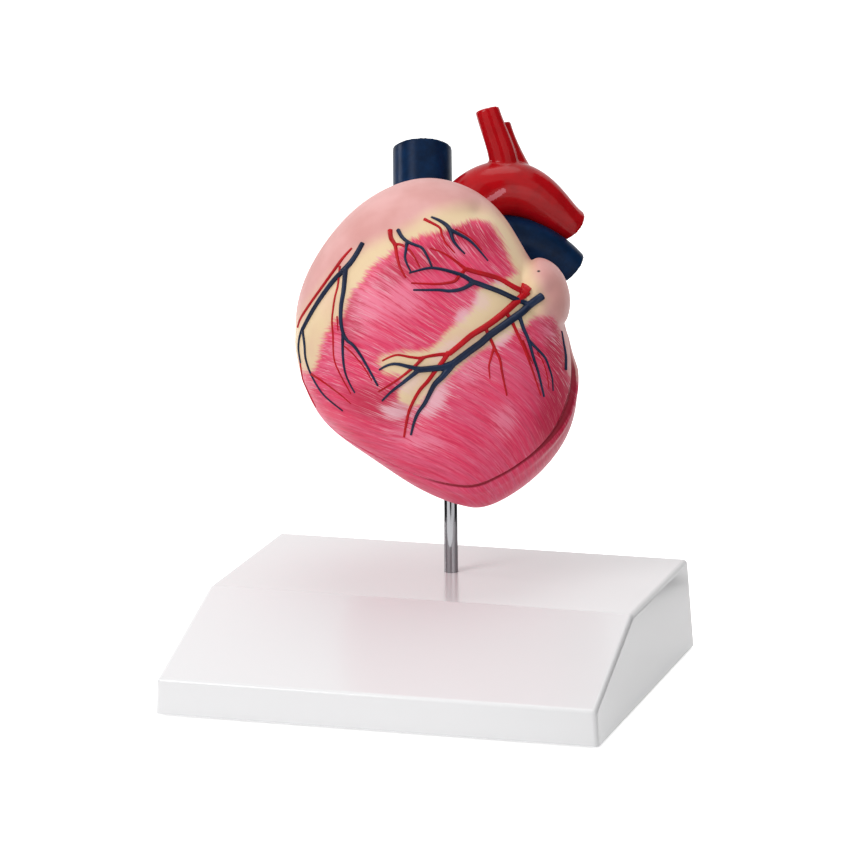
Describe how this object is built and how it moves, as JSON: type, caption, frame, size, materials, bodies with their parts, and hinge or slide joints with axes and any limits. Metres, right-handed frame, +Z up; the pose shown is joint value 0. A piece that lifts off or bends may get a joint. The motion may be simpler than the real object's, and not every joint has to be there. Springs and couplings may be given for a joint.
{
  "type": "dog heart model",
  "caption": "Life-size dog heart teaching model in two painted halves that pull apart, on a steel rod over a white wedge-shaped stand.",
  "frame": {"origin": "middle of the stand's underside, on the plane its rubber feet rest on", "axes": "+Z up along the rod, +X to the right, -Y towards the low sloping front of the stand"},
  "size_m": [0.16, 0.1566, 0.1957],
  "materials": {
    "stand_plastic": "smooth gloss moulding",
    "foot_rubber": "matt",
    "rod_steel": "polished",
    "fastener_steel": "bright zinc plated",
    "sleeve_plastic": "plain",
    "heart_casting": "hand painted, satin",
    "artery_paint": "painted, gloss",
    "vein_paint": "painted, gloss",
    "coronary_artery_paint": "painted, satin",
    "coronary_vein_paint": "painted, satin",
    "magnet_metal": "nickel plated",
    "pin_steel": "ground",
    "valve_paint": "painted, satin",
    "pillar_paint": "painted, satin",
    "cord_plastic": "plain"
  },
  "bodies": {
    "stand": {"base_housing": "stand_plastic", "rubber_feet": "foot_rubber", "support_rod": "rod_steel", "rod_washer": "fastener_steel", "rod_screw": "fastener_steel"},
    "sleeve": {"rod_sleeve": "sleeve_plastic"},
    "heart_rear": {"rear_heart_half": "heart_casting", "cranial_vena_cava": "vein_paint", "caudal_vena_cava": "vein_paint", "aortic_arch": "artery_paint", "pulmonary_trunk": "vein_paint", "pulmonary_veins": "artery_paint", "rear_magnets": "magnet_metal", "dowel_pins": "pin_steel", "tricuspid_valve": "valve_paint", "mitral_valve": "valve_paint", "aortic_valve": "valve_paint", "left_papillary_muscles": "pillar_paint", "right_papillary_muscles": "pillar_paint", "left_heart_cords": "cord_plastic", "right_heart_cords": "cord_plastic", "rear_coronary_artery": "coronary_artery_paint", "rear_coronary_vein": "coronary_vein_paint"},
    "heart_front": {"front_heart_half": "heart_casting", "front_magnets": "magnet_metal", "pulmonary_valve": "valve_paint", "left_coronary_artery": "coronary_artery_paint", "left_coronary_vein": "coronary_vein_paint", "right_coronary_artery": "coronary_artery_paint", "right_coronary_vein": "coronary_vein_paint"}
  },
  "joints": [
    {"name": "heart_lift", "type": "slide", "parent": "stand", "child": "sleeve", "axis": [0, 0, 1], "range_m": [0, 0.05]},
    {"name": "heart_turn", "type": "hinge", "parent": "sleeve", "child": "heart_rear", "pos_m": [0, 0.027, 0.08], "axis": [0, 0, 1], "continuous": true},
    {"name": "front_half_pull", "type": "slide", "parent": "heart_rear", "child": "heart_front", "axis": [0.0818, -0.8125, 0.5772], "range_m": [0, 0.08]}
  ]
}
